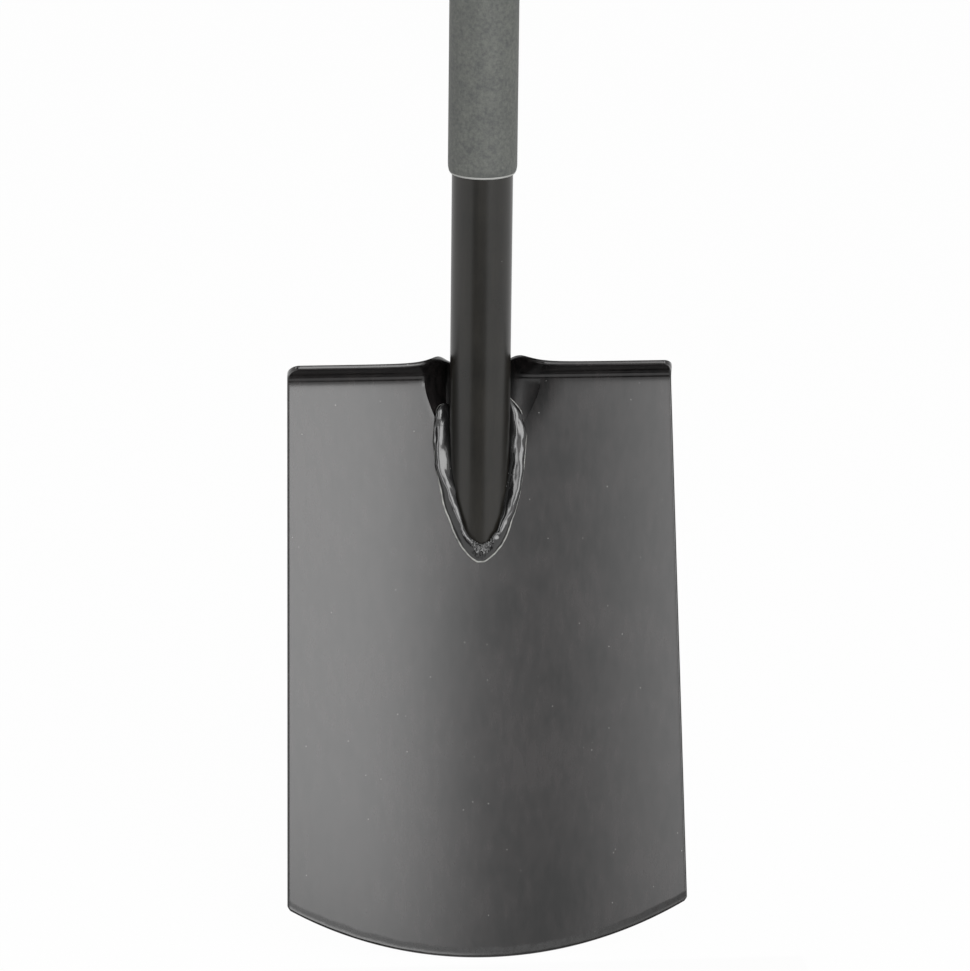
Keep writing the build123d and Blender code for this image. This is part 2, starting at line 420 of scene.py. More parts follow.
@dataclass(frozen=True)
class GrainedPlastic(Finish):
    """Plastic moulded in a spark eroded tool: a matt skin of fine grains that differ in tone.

    Attributes:
        grain_colour: Colour of the paler grains.
        grain_mm: Size of a grain, drawn as coarse as it needs to show.
        grain_depth_mm: Height of a grain.
        mottle_mm: Size of the slow change in tone.
        mottle_share: Weight of that change against the grains.
        tone_range: Sums of both where the tone starts to turn pale and where it is palest.
        painted_highlight_height_mm: Height in the part's frame below which the rim is painted pale as
            a highlight.
        painted_highlight_colour: Colour of that painted highlight on the rim.
    """

    grain_colour: str
    grain_mm: float
    grain_depth_mm: float
    mottle_mm: float = 9.0
    mottle_share: float = 0.35
    tone_range: tuple[float, float] = (0.45, 0.9)
    painted_highlight_height_mm: float = -1000.0
    painted_highlight_colour: str = "#b4b5b2"

    def dress(self, tree: bpy.types.NodeTree, shader: bpy.types.Node) -> None:
        """Add the grains, the slow change in tone and the painted highlight on the rim.

        Args:
            tree: Node tree of the material.
            shader: Principled shader of the plastic.
        """
        place = add_node(tree, "ShaderNodeTexCoord").outputs["Object"]
        grain = add_node(
            tree,
            "ShaderNodeTexNoise",
            {"Vector": place, "Scale": per_metre(self.grain_mm), "Detail": 3.0, "Roughness": 0.65},
        )
        mottle = add_node(
            tree,
            "ShaderNodeTexNoise",
            {"Vector": place, "Scale": per_metre(self.mottle_mm), "Detail": 2.0},
        )
        both = add_node(
            tree,
            "ShaderNodeMath",
            {0: mottle.outputs["Fac"], 1: self.mottle_share, 2: grain.outputs["Fac"]},
            operation="MULTIPLY_ADD",
        )
        dark, pale = self.tone_range
        tone = add_node(
            tree,
            "ShaderNodeMapRange",
            {"Value": both.outputs["Value"], "From Min": dark, "From Max": pale},
        )
        colour = add_node(
            tree,
            "ShaderNodeMix",
            {
                "Factor": tone.outputs["Result"],
                "A": linear(self.colour),
                "B": linear(self.grain_colour),
            },
            data_type="RGBA",
        )
        # Painted highlight: below the given height the lower rim takes a pale colour.
        height = add_node(tree, "ShaderNodeSeparateXYZ", {"Vector": place}).outputs["Z"]
        rim = add_node(
            tree,
            "ShaderNodeMath",
            {0: height, 1: self.painted_highlight_height_mm * MM},
            operation="LESS_THAN",
        )
        paler_edge = add_node(
            tree,
            "ShaderNodeMix",
            {
                "Factor": rim.outputs["Value"],
                "A": colour.outputs["Result"],
                "B": linear(self.painted_highlight_colour),
            },
            data_type="RGBA",
        )
        tree.links.new(paler_edge.outputs["Result"], shader.inputs["Base Color"])
        bump = add_node(
            tree,
            "ShaderNodeBump",
            {"Height": grain.outputs["Fac"], "Distance": self.grain_depth_mm * MM},
        )
        tree.links.new(bump.outputs["Normal"], shader.inputs["Normal"])


@dataclass(frozen=True)
class PlatedSteel(Finish):
    """Zinc plated steel, pressed and headed: a pale metal with a cloudy bloom and fine scratches.

    Attributes:
        bloom_colour: Colour of the cloudy bloom.
        bloom_mm: Size of the bloom's clouds.
        scratch_mm: Spacing of the scratches.
        scratch_squeeze: Scale of the pattern along the scratches.
        scratch_dulling: Factors on the roughness beside and along the scratches.
    """

    bloom_colour: str
    bloom_mm: float = 2.2
    scratch_mm: float = 0.35
    scratch_squeeze: float = 0.12
    scratch_dulling: tuple[float, float] = (0.75, 1.3)

    def dress(self, tree: bpy.types.NodeTree, shader: bpy.types.Node) -> None:
        """Add the bloom and the scratches.

        Args:
            tree: Node tree of the material.
            shader: Principled shader of the metal.
        """
        shader.inputs["Metallic"].default_value = 1.0
        place = add_node(tree, "ShaderNodeTexCoord").outputs["Object"]
        bloom = add_node(
            tree,
            "ShaderNodeTexNoise",
            {"Vector": place, "Scale": per_metre(self.bloom_mm), "Detail": 3.0},
        )
        colour = add_node(
            tree,
            "ShaderNodeMix",
            {
                "Factor": bloom.outputs["Fac"],
                "A": linear(self.colour),
                "B": linear(self.bloom_colour),
            },
            data_type="RGBA",
        )
        tree.links.new(colour.outputs["Result"], shader.inputs["Base Color"])
        stretched = add_node(
            tree,
            "ShaderNodeMapping",
            {"Vector": place, "Scale": (1.0, 1.0, self.scratch_squeeze)},
        )
        scratch = add_node(
            tree,
            "ShaderNodeTexNoise",
            {"Vector": stretched.outputs["Vector"], "Scale": per_metre(self.scratch_mm)},
        )
        beside, along = self.scratch_dulling
        dull = add_node(
            tree,
            "ShaderNodeMapRange",
            {
                "Value": scratch.outputs["Fac"],
                "From Min": NOISE_LOW,
                "From Max": NOISE_HIGH,
                "To Min": self.roughness * beside,
                "To Max": self.roughness * along,
            },
        )
        tree.links.new(dull.outputs["Result"], shader.inputs["Roughness"])


# The film is thick and satin on the sheet, so it mirrors the soft boxes as wide, soft bands.
BLADE_ENAMEL = StovedEnamel(
    name="stoved_enamel_on_pressed_steel",
    colour="#0b0b0b",
    roughness=0.18,
    ior=1.5,
    cloud_colour="#242121",
    run_mm=3.5,
    speck_colour="#8c8c89",
    speck_spacing_mm=5.4,
    speck_mm=0.22,
)

# The dip runs into the weld and dries there thick and wet looking, over the lumps of the bead.
WELD_ENAMEL = StovedEnamel(
    name="pooled_enamel_on_weld_bead",
    colour="#141414",
    roughness=0.16,
    ior=1.5,
    cloud_colour="#1b1b1b",
    cloud_mm=6.0,
    peel_mm=1.1,
    peel_depth_mm=0.02,
    speck_spacing_mm=6.0,
    speck_share=0.35,
    coat=0.5,
    # Painted highlight: this pale colour lies on the rim of paint at the bead's toe, where the mesh
    # marks it.
    wear_and_highlight_colour="#9a9a96",
    wear_and_highlight_roughness=0.5,
    wear_and_highlight_mm=3.0,
)

# A thin, even film on drawn tube, duller than the blade's.
TUBE_ENAMEL = StovedEnamel(
    name="stoved_enamel_on_drawn_tube",
    colour="#151411",
    roughness=0.29,
    ior=1.5,
    cloud_colour="#1f1d19",
    cloud_mm=30.0,
    speck_spacing_mm=14.0,
    speck_mm=0.22,
)

# Polypropylene from a spark eroded mould: matt and grey, with a fine leathery grain.
SLEEVE_PLASTIC = GrainedPlastic(
    name="grained_polypropylene",
    colour="#484a49",
    roughness=0.62,
    ior=1.49,
    grain_colour="#636560",
    grain_mm=1.7,
    grain_depth_mm=0.12,
    # Painted highlight: the sleeve's lower rim, below this height, is painted pale.
    painted_highlight_height_mm=-48.9,
)

# Glass filled nylon: black, hard and matt, with the grain of the mould.
HANDLE_PLASTIC = GrainedPlastic(
    name="glass_filled_nylon",
    colour="#19191a",
    roughness=0.5,
    ior=1.53,
    grain_colour="#232324",
    grain_mm=0.9,
    grain_depth_mm=0.06,
)

# Thermoplastic rubber moulded over the bar: soft, dry and dull.
GRIP_RUBBER = GrainedPlastic(
    name="overmoulded_rubber",
    colour="#575957",
    roughness=0.85,
    ior=1.5,
    grain_colour="#646662",
    grain_mm=0.8,
    grain_depth_mm=0.08,
)

# Polyethylene plug inside the tube's end: dull and waxy.
PLUG_PLASTIC = GrainedPlastic(
    name="moulded_polyethylene",
    colour="#3c3c3c",
    roughness=0.55,
    ior=1.51,
    grain_colour="#464646",
    grain_mm=1.2,
    grain_depth_mm=0.03,
)

# Bright zinc on the rivet and its washers. A metal keeps the default index.
RIVET_STEEL = PlatedSteel(
    name="zinc_plated_steel",
    colour="#a3a6a8",
    roughness=0.34,
    ior=1.5,
    bloom_colour="#8d9092",
)

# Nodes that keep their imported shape.
NODE_FINISHES: tuple[tuple[str, Finish], ...] = (
    ("shaft_tube", TUBE_ENAMEL),
    ("shaft_sleeve", SLEEVE_PLASTIC),
    ("tube_plug", PLUG_PLASTIC),
    ("handle_frame", HANDLE_PLASTIC),
    ("grip_cover", GRIP_RUBBER),
    ("handle_rivet", RIVET_STEEL),
    ("rivet_washers", RIVET_STEEL),
)


def add_piece(name: str, shape: bmesh.types.BMesh, finish: Finish, slot: Slot, *nodes: str) -> None:
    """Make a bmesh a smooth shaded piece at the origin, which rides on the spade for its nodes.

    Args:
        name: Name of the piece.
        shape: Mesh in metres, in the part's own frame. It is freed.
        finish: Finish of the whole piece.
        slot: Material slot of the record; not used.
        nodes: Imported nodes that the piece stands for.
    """
    for face in shape.faces:
        face.smooth = True
    mesh = bpy.data.meshes.new(name)
    shape.to_mesh(mesh)
    shape.free()
    mesh.materials.append(finish.material())
    piece = bpy.data.objects.new(name, mesh)
    bpy.context.scene.collection.objects.link(piece)
    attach(piece, BODY)
    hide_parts(*nodes)
    log.info("%s: %d faces, for %s", name, len(mesh.polygons), ", ".join(nodes))


def dress_node(frame: dict, name: str, finish: Finish) -> None:
    """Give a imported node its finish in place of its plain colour.

    Args:
        name: Name of the node.
        finish: Finish of the whole node.
    """
    piece = frame["nodes"][name]
    piece.data.materials.clear()
    piece.data.materials.append(finish.material())
    log.info("%s: packed shape in %s", name, finish.name)


@dataclass(frozen=True)
class Shaft:
    """Size of the shaft that the blade and its welds lie against, in millimetres."""

    tube_radius: float = 14.3


@dataclass
class Blade:
    """Pressed blade: a hollow sheet with turned treads, a trough behind the tube and a ground edge.

    All sizes are in millimetres. The blade's own coordinates are across, up and out of its hollow
    front. What has two values has one for its left and one for its right side.
    """

    shaft: Shaft
    # Plate, placed where the shaft's axis meets it
    joint_height: float = -180.0
    crank: float = math.radians(16)
    crease: float = 28.0
    width_bottom: float = 190.0
    width_top: float = 182.0
    length: float = 248.0
    hollow_depth: float = 8.0
    sheet: float = 2.0
    # Cutting edge, with its bevel, steeper from a start near the right corner, and its lip
    edge_radius: float = 186.0
    corner_rise: float = 1.66
    corner_cut: float = 1.42
    bevel_width: float = 4.6
    bevel_slope: float = 0.016
    corner_slope: float = 0.06
    corner_start: float = 40.0
    corner_run: float = 50.0
    bevel_waver: float = 0.8
    bevel_waver_length: float = 5.5
    bevel_settle: float = 9.0
    lip_slope: float = 0.1
    lip_end: float = 15.0
    lip_run: float = 40.0
    edge_lip: float = 1.0
    worn_blur: float = 1.2
    # Treads, which stand up and are notched beside the tube
    run_in: float = 4.4
    run_in_rise: float = 0.35
    tread_turn: float = math.radians(75)
    tread_bend: float = 4.4
    tread_flat: float = 10.5
    tread_corner: float = 5.2
    tread_corner_length: float = 13.5
    upright_half: float = 20.0
    upright_power: float = 5.5
    notch_depth: float = 3.6
    notch_half: float = 21.0
    notch_run: float = 10.0
    # Trough behind the tube, and the painted shade of lowered gloss beside it
    trough_margin: float = 0.7
    trough_clearance: float = 0.4
    trough_walls: tuple[float, float] = (10.8, 14.5)
    trough_feet: tuple[float, float] = (1.0, 0.5)
    trough_bows: tuple[float, float] = (0.0, 0.16)
    trough_length: float = 34.0
    trough_narrow: float = 0.15
    fold_least: float = 0.01
    painted_shade_width: float = 15.0
    painted_shade_power: float = 0.3
    # Rounding of the front's edges, of the treads' free edge and of the back's
    edge_round: float = 1.0
    free_round: float = 0.9
    back_round: float = 0.28
    # Rows and columns of the mesh
    margin: float = 4.0
    zone_columns: tuple[int, ...] = (14, 14, 46, 11)
    bevel_rows: int = 14
    blade_rows: int = 130
    row_growth: float = 1.25
    bend_rows: int = 10
    flat_rows: int = 20

    @property
    def trough_depth(self) -> float:
        """Depth of the trough at the crease, where the sheet clears the back of the tube."""
        tube_back = self.shaft.tube_radius / math.cos(self.crank)
        return tube_back - self.crease * math.tan(self.crank) + self.trough_clearance

    @property
    def corner_up(self) -> float:
        """Height of the cutting edge's two corners along the blade."""
        return self.crease - self.length

    def world(self, across: float, up: float, out: float) -> Vector:
        """Place a point of the blade's own coordinates in the part's frame, in metres.

        Args:
            across: Distance across the blade from its middle.
            up: Distance up the blade from where the shaft's axis meets it.
            out: Distance out of the hollow front.

        Returns:
            The point in metres.
        """
        back = up * math.sin(self.crank) - out * math.cos(self.crank)
        height = self.joint_height + up * math.cos(self.crank) + out * math.sin(self.crank)
        return Vector((across, back, height)) * MM

    def trough_fade(self, up: float) -> float:
        """Fade of the trough from the crease down the blade."""
        return smoothstep((up - self.crease) / self.trough_length + 1)

    def trough_wall(self, across: float, up: float) -> float:
        """Width of the trough's left or right wall, which narrows down the blade."""
        share = self.trough_narrow + (1 - self.trough_narrow) * self.trough_fade(up)
        return self.trough_walls[0 if across < 0 else 1] * share

    def trough_share(self, across: float, up: float) -> float:
        """Share of the trough's depth, before its fade: the left wall is steep, the right one shallow.

        Args:
            across: Distance across the blade.
            up: Distance up the blade.

        Returns:
            Share from 0 to 1.
        """
        side = 0 if across < 0 else 1
        floor = self.shaft.tube_radius + self.trough_margin
        foot, bow = self.trough_feet[side], self.trough_bows[side]
        if abs(across) < floor:
            return foot + (1 - foot) * math.sqrt(1 - (across / floor) ** 2)
        left = max(1 - (abs(across) - floor) / self.trough_wall(across, up), 0)
        return foot * left * (1 + bow - bow * left)

    def painted_shade_share(self, column: float, rise: float) -> float:
        """Share of the painted shade, a lowered gloss on the plate beside the trough's right fold.

        Args:
            column: Zone across the sheet and place there, as columns() lists them.
            rise: Distance of the row up the side from the edge's corner.

        Returns:
            Share from 0 to 1.
        """
        if column < 2:
            return 0.0
        up = self.row_middle(rise)
        across = self.column_across(column, rise, self.half_width(rise, 0.0))
        past = across - self.shaft.tube_radius - self.trough_margin - self.trough_wall(across, up)
        return (1 - smoothstep(past / self.painted_shade_width)) * self.trough_fade(up) ** self.painted_shade_power

    def upright_share(self, across: float) -> float:
        """Share by which the top edge stands up along the tube instead of turning into a tread."""
        return 1 / (1 + (abs(across) / self.upright_half) ** self.upright_power)

    @property
    def run_in_turn(self) -> float:
        """Turn of the sheet at the end of its run-in, where the tread's bend starts."""
        return math.atan(2 * self.run_in_rise / self.run_in)

    def front_height(self, across: float, up: float) -> float:
        """Height of the sheet's front face below the crease.

        Args:
            across: Distance across the blade.
            up: Distance up the blade.

        Returns:
            Distance out of the blade's plane.
        """
        hollow = self.hollow_depth * (2 * across / self.width_bottom) ** 2
        lead = max(1 + (up - self.crease) / self.run_in, 0) ** 2 * self.run_in_rise
        trough = self.trough_depth * self.trough_share(across, up) * self.trough_fade(up)
        return hollow + lead * (1 - self.upright_share(across)) - trough

    def edge_up(self, across: float) -> float:
        """Height of the cutting edge at a distance across the blade."""
        half = self.width_bottom / 2
        middle = self.corner_up + math.sqrt(self.edge_radius**2 - half**2)
        return middle - math.sqrt(self.edge_radius**2 - across**2)

    def half_width(self, rise: float, tread: float) -> float:
        """Half of the blade's width, with the treads' rounded corners.

        Args:
            rise: Distance up the side from the edge's corner.
            tread: Share of the tread, from 0 to 2.

        Returns:
            Distance from the blade's middle to its side.
        """
        side = self.width_bottom / 2 + (self.width_top - self.width_bottom) / 2 * rise / self.length
        bend = self.tread_bend * (self.tread_turn - self.run_in_turn)
        to_edge = self.tread_flat * (2 - max(tread, 1)) + bend * (1 - min(tread, 1))
        past = max(1 - to_edge / self.tread_corner_length, 0)
        return side - self.tread_corner * (1 - math.sqrt(1 - past**2))

    def bevel_line(self, across: float) -> float:
        """Wavering width of the ground bevel at a distance across the blade."""
        waver = noise.noise(Vector((across / self.bevel_waver_length, 3.7, 0.0)))
        return self.bevel_width + self.bevel_waver * waver

    def rows(self) -> list[tuple[float, float]]:
        """List the sheet's rows from the cutting edge to the treads' free edge.

        Returns:
            For each row its distance up the side from the edge's corner, and its share of the
            tread: 0 to 1 through the bend and 1 to 2 along the flat.
        """
        bevel = [self.bevel_width * (k / self.bevel_rows) ** 2 for k in range(self.bevel_rows)]
        rest = self.length - self.bevel_width
        shares = [(k / self.blade_rows) ** self.row_growth for k in range(self.blade_rows)]
        blade = [self.bevel_width + rest * share for share in shares]
        bend = [k / self.bend_rows for k in range(self.bend_rows)]
        flat = [2 - (1 - k / self.flat_rows) ** 2 for k in range(self.flat_rows + 1)]
        sheet = [(rise, 0.0) for rise in bevel + blade]
        return sheet + [(self.length, share) for share in bend + flat]

    def columns(self) -> list[float]:
        """List the sheet's columns from its left side to its right.

        Returns:
            For each column its zone and its place there, negative on the left: 0 to 1 on the
            trough's floor, 1 to 2 on its wall, 2 to 3 on the plate and 3 to 4 in the margin.
        """
        zones = enumerate(self.zone_columns)
        right = [zone + k / count for zone, count in zones for k in range(count)]
        right.append(float(len(self.zone_columns)))
        return [-column for column in reversed(right[1:])] + right

    def row_middle(self, rise: float) -> float:
        """Height up the blade of a row's middle."""
        edge = self.edge_up(0)
        return edge + rise + (self.crease - edge - self.length) * (rise / self.length) ** 2

    def column_across(self, column: float, rise: float, half: float) -> float:
        """Place a column in a row.

        Args:
            column: Zone and place there, as columns() lists them.
            rise: Distance of the row up the side from the edge's corner.
            half: Half of the row's width.

        Returns:
            Distance across the blade.
        """
        floor = self.shaft.tube_radius + self.trough_margin
        fold = floor + self.trough_wall(column, self.row_middle(rise))
        marks = (0.0, floor, fold, half - self.margin, half)
        zone = min(int(abs(column)), 3)
        share = abs(column) - zone
        if zone == 3:
            share = 1 - (1 - share) ** 2
        return math.copysign(marks[zone] + (marks[zone + 1] - marks[zone]) * share, column)

    def edge_drop(self, across: float, to_side: float, to_edge: float) -> float:
        """Depth below the plate of its dressed front edges.

        They have a shallow bevel, ground steeper at its right end, a raised lip and a rounded edge.

        Args:
            across: Distance across the blade.
            to_side: Distance to the nearer side of the blade.
            to_edge: Distance to the cutting edge.

        Returns:
            Depth along the plate's normal.
        """
        lip = self.edge_round + self.edge_lip
        steep = self.corner_slope * smoothstep((across - self.corner_start) / self.corner_run)
        bevel = (self.bevel_slope + steep) * max(self.bevel_width - max(to_edge, lip), 0)
        upturn = self.lip_slope * smoothstep((self.lip_end - across) / self.lip_run)
        bevel -= upturn * max(lip - max(to_edge, self.edge_round), 0)
        past = max(1 - min(to_side, to_edge) / self.edge_round, 0)
        return bevel + self.edge_round * (1 - math.sqrt(1 - past**2))

    def sheet_point(self, column: float, rise: float, tread: float, back: bool) -> Vector:
        """Place one point of the sheet.

        Args:
            column: Zone across the sheet and place there, from -4 to 4.
            rise: Distance up the side from the edge's corner.
            tread: Share of the tread, from 0 to 2.
            back: Whether the point is on the back face.

        Returns:
            The point in metres.
        """
        half = self.half_width(rise, tread)
        half -= self.corner_cut * max(1 - rise / self.corner_rise, 0) ** 2
        across = self.column_across(column, rise, half)
        drop = self.edge_drop(across, half - abs(across), rise)
        if tread > 0:
            return self.world(across, *self.tread_point(across, tread, back, drop))
        edge = self.edge_up(across)
        gain = (self.crease - edge - self.length) * (rise / self.length) ** 2
        past = max(1 - (rise - self.bevel_width) / self.bevel_settle, 0)
        settle = min(rise / self.bevel_width, past)
        up = edge + rise + gain + (self.bevel_line(across) - self.bevel_width) * settle
        out = self.front_height(across, up)
        if not back:
            return self.world(across, up, out - drop)
        step = 0.01
        climb = self.front_height(across, up + step) - self.front_height(across, up - step)
        lean = math.atan(climb / (2 * step))
        thick = self.sheet * self.side_slope(across)
        return self.world(across, up + thick * math.sin(lean), out - thick * math.cos(lean))

    def side_slope(self, across: float) -> float:
        """Length of a step across the hollow, against its length across the flat blade."""
        return math.hypot(1, 8 * self.hollow_depth * across / self.width_bottom**2)

    def tread_point(
        self, across: float, tread: float, back: bool, drop: float = 0.0
    ) -> tuple[float, float]:
        """Place a point of the turned tread.

        Args:
            across: Distance across the blade.
            tread: Share of the tread, from 0 to 2.
            back: Whether the point is on the back face.
            drop: Depth of the front's dressed edge.

        Returns:
            Distances up the blade and out of its plane.
        """
        share = self.upright_share(across)
        first = self.run_in_turn * (1 - share)
        last = self.tread_turn * (1 - share) + self.crank * share
        turn = first + (last - first) * min(tread, 1)
        notch = self.notch_depth * smoothstep((self.notch_half - abs(across)) / self.notch_run)
        flat = (self.tread_flat - notch) * max(tread - 1, 0)
        bend = self.tread_bend
        up = self.crease + bend * (math.sin(turn) - math.sin(first)) + flat * math.cos(turn)
        out = bend * (math.cos(first) - math.cos(turn)) + flat * math.sin(turn)
        out += self.front_height(across, self.crease)
        past = max(1 - self.tread_flat * (2 - max(tread, 1)) / self.free_round, 0)
        drop = max(drop, self.free_round * (1 - math.sqrt(1 - past**2)))
        thick = self.sheet * self.side_slope(across) if back else drop
        return up + thick * math.sin(turn), out - thick * math.cos(turn)

    def build(self) -> None:
        """Model the blade as two bent grids joined along their borders, the back's border rounded."""
        shape = bmesh.new()
        wear_and_highlight = shape.verts.layers.float.new("wear_and_highlight")
        painted_shade = shape.verts.layers.float.new("painted_shade")
        rows, columns = self.rows(), self.columns()
        border: list[bmesh.types.BMEdge] = []
        for back in (False, True):
            made = bmesh.ops.create_grid(
                shape, x_segments=len(columns) - 1, y_segments=len(rows) - 1, size=1.0
            )["verts"]
            fold: set[bmesh.types.BMVert] = set()
            for vert in made:
                rise, tread = rows[round((vert.co.y + 1) / 2 * (len(rows) - 1))]
                column = columns[round((vert.co.x + 1) / 2 * (len(columns) - 1))]
                vert.co = self.sheet_point(column, rise, tread, back)
                if tread > 0:
                    continue
                fade = self.trough_fade(self.row_middle(rise))
                if abs(column) in (1.0, 2.0) and fade > self.fold_least:
                    fold.add(vert)
                if not back:
                    inner = smoothstep((self.bevel_width - rise) / self.worn_blur + 0.5)
                    vert[wear_and_highlight] = inner * smoothstep((rise - self.edge_round) / self.edge_lip)
                    # Painted shade: the plate beside the trough's right fold gets a share of lowered
                    # gloss.
                    vert[painted_shade] = self.painted_shade_share(column, rise)
            for edge in {e for v in fold for e in v.link_edges if fold.issuperset(e.verts)}:
                edge.smooth = back
            rim = {e for v in made for e in v.link_edges if e.is_boundary}
            border += rim
        bmesh.ops.bridge_loops(shape, edges=border)
        bmesh.ops.recalc_face_normals(shape, faces=shape.faces)
        bmesh.ops.bevel(
            shape,
            geom=list(rim),
            offset=self.back_round * MM,
            offset_type="OFFSET",
            segments=3,
            profile=0.5,
            affect="EDGES",
            material=-1,
            clamp_overlap=True,
        )
        add_piece("blade_sheet", shape, BLADE_ENAMEL, Slot.BLADE, "blade")


@dataclass
class Station:
    """One cross section of a weld bead, in millimetres.

    Attributes:
        middle: Middle of the section on the sheet.
        across: Direction away from the tube.
        out: Direction out of the sheet.
        half_width: Half of the bead's width.
        height: Height of its crest over the middle.
        depth: Depth of its root under the middle.
        lean: Shift of the crest away from the tube, as a share of the half width.
    """

    middle: Vector
    across: Vector
    out: Vector
    half_width: float
    height: float
    depth: float
    lean: float = 0.0


@dataclass(frozen=True)
class Spatter:
    """Where beads of spatter lie on the weld.

    Attributes:
        places: Range along the bead.
        turns: Range round its section, as shares of half a turn from the toe.
    """

    places: tuple[float, float]
    turns: tuple[float, float]


@dataclass
class WeldBeads:
    """Weld beads that join the tube to the blade, one round its front and one behind the sheet's top.

    All sizes are in millimetres, and a place along a bead goes from -1 at its left end to 1 at its
    right end.
    """

    blade: Blade
    # Path of the front bead, between the tube and its toe on the blade
    side_leg: float = 7.0
    tip_leg: float = 6.2
    toe_bow: float = 1.75
    left_end: float = 17.5
    right_end: float = 21.0
    sway_angle: float = 0.225
    sway: float = 0.8
    # Section of the front bead, and the lean of its crest by place
    bead_height: float = 2.7
    bead_depth: float = 1.4
    section_power: float = 2.15
    tuck: float = 0.9
    seat: float = 0.2
    deepest: float = -0.8
    lean_marks: tuple[tuple[float, float], ...] = (
        (-1.0, 0.6),
        (-0.7, 0.6),
        (-0.54, -0.3),
        (-0.35, -0.45),
        (-0.17, -0.9),
        (0.17, -0.9),
        (0.3, -0.3),
        (0.45, 0.3),
        (1.0, 0.35),
    )
    # Ends: a blob at the round left one, and a pointed right one
    blob_gain: float = 0.22
    blob_place: float = -0.94
    blob_length: float = 0.05
    round_start: float = 0.95
    point_start: float = 0.9
    point_power: float = 1.4
    # Bead behind the tube
    rear_wrap: float = math.radians(46)
    rear_half_width: float = 2.5
    rear_height: float = 2.6
    rear_offset: float = 1.4
    # Lumps, finer ones on them, and the low tip
    path_length: float = 85.0
    lump_length: float = 8.0
    lump_width: float = 3.4
    lump_rise: float = 0.4
    lump_share: float = 0.2
    fine_share: float = 0.25
    fine_scale: float = 2.3
    tip_share: float = 0.17
    tip_sink: float = 0.45
    tip_lumps: float = 2.2
    tip_scale: float = 4.7
    # Rim of paint along the toe, which the material paints pale as a highlight
    rim_half_width: float = 0.45
    rim_height: float = 0.3
    rim_shift: float = 0.4
    rim_fade: float = 1.0
    # Spatter at the tip and on the right side
    spatter_count: int = 18
    spatter_radius: float = 0.42
    spatter_sizes: tuple[float, float] = (0.5, 1.0)
    spatter_seed: int = 11
    tip_spatter: Spatter = Spatter((-0.14, 0.16), (0.12, 0.45))
    side_spatter: Spatter = Spatter((0.55, 0.93), (0.55, 0.95))
    side_per_tip: int = 2
    # Rows and columns of the mesh
    stations: int = 300
    around: int = 44
    rim_around: int = 12
    join: float = 0.002

    def toe(self, angle: float) -> tuple[float, float]:
        """Place the bead's outer toe on the blade.

        Args:
            angle: Angle round the bead's tip, 0 at the tip and a right angle at the sides.

        Returns:
            Distances across and up the blade.
        """
        tube = self.blade.shaft.tube_radius
        half = tube + self.side_leg
        reach = tube / math.sin(self.blade.crank) + self.tip_leg
        bow = 2 / self.toe_bow
        across = math.copysign(abs(math.sin(angle)) ** bow, angle) * half
        if abs(angle) > math.pi / 2:
            return across, self.foot(angle)[1]
        return across, -reach * math.cos(angle) ** bow

    def foot(self, angle: float) -> tuple[float, float]:
        """Place the bead's inner foot, where the tube meets the blade, as toe() does its toe."""
        tube = self.blade.shaft.tube_radius
        return tube * math.sin(angle), -tube / math.sin(self.blade.crank) * math.cos(angle)

    def front_station(self, share: float) -> Station:
        """Cross section of the bead round the tube's front.

        Args:
            share: Place along the bead.

        Returns:
            The cross section, in the part's frame.
        """
        end = self.left_end if share < 0 else self.right_end
        tube = self.blade.shaft.tube_radius
        last = math.pi / 2 + math.asin(min(end * math.sin(self.blade.crank) / tube, 1))
        angle = share * last
        toe_across, toe_up = self.toe(angle)
        foot_across, foot_up = self.foot(angle)
        across = Vector((toe_across - foot_across, toe_up - foot_up))
        half = across.length / 2
        across.normalize()
        sway = self.sway * noise.noise(Vector((angle / self.sway_angle, 1.3, 7.7)))
        form = BeadEnd.ROUND if share < 0 else BeadEnd.POINTED
        keep = self.end_share(abs(share), form)
        lean = half if form is BeadEnd.ROUND else half * keep
        middle_across = foot_across + across.x * (lean + sway - self.tuck / 2)
        middle_up = foot_up + across.y * (lean + sway - self.tuck / 2)
        blade = self.blade
        sheet = blade.front_height(middle_across, min(middle_up, blade.crease))
        origin = blade.world(0, 0, 0)
        blob = math.exp(-(((share - self.blob_place) / self.blob_length) ** 2))
        size = keep * (1 + self.blob_gain * blob) * (1 - self.tip_sink * self.tip(share))
        return Station(
            middle=blade.world(middle_across, middle_up, max(sheet, self.deepest) + self.seat) / MM,
            across=(blade.world(across.x, across.y, 0) - origin) / MM,
            out=(blade.world(0, 0, 1) - origin) / MM,
            half_width=(half + self.tuck / 2) * keep,
            height=self.bead_height * size,
            depth=self.bead_depth * keep,
            lean=self.lean(share),
        )

    def tip(self, share: float) -> float:
        """Share of the bead's low, spattered tip at a place along it."""
        return math.exp(-((share / self.tip_share) ** 4))

    def lean(self, share: float) -> float:
        """Lean of the hand-run bead's crest at a place along it."""
        for (low, first), (high, last) in zip(self.lean_marks, self.lean_marks[1:]):
            if share <= high:
                return first + (last - first) * smoothstep((share - low) / (high - low))
        return self.lean_marks[-1][1]

    def rear_station(self, share: float) -> Station:
        """Cross section of the bead behind the tube, as front_station() gives it for the front."""
        blade = self.blade
        up, out = blade.tread_point(0, 2, False)
        height = blade.world(0, up, out).z / MM
        angle = share * self.rear_wrap
        radial = Vector((math.sin(angle), math.cos(angle), 0))
        out_from_axis = blade.shaft.tube_radius + self.rear_offset
        keep = self.end_share(abs(share), BeadEnd.ROUND)
        return Station(
            middle=radial * out_from_axis + Vector((0, 0, height + self.seat)),
            across=radial,
            out=Vector((0, 0, 1)),
            half_width=self.rear_half_width * keep,
            height=self.rear_height * keep,
            depth=self.rear_height * keep,
        )

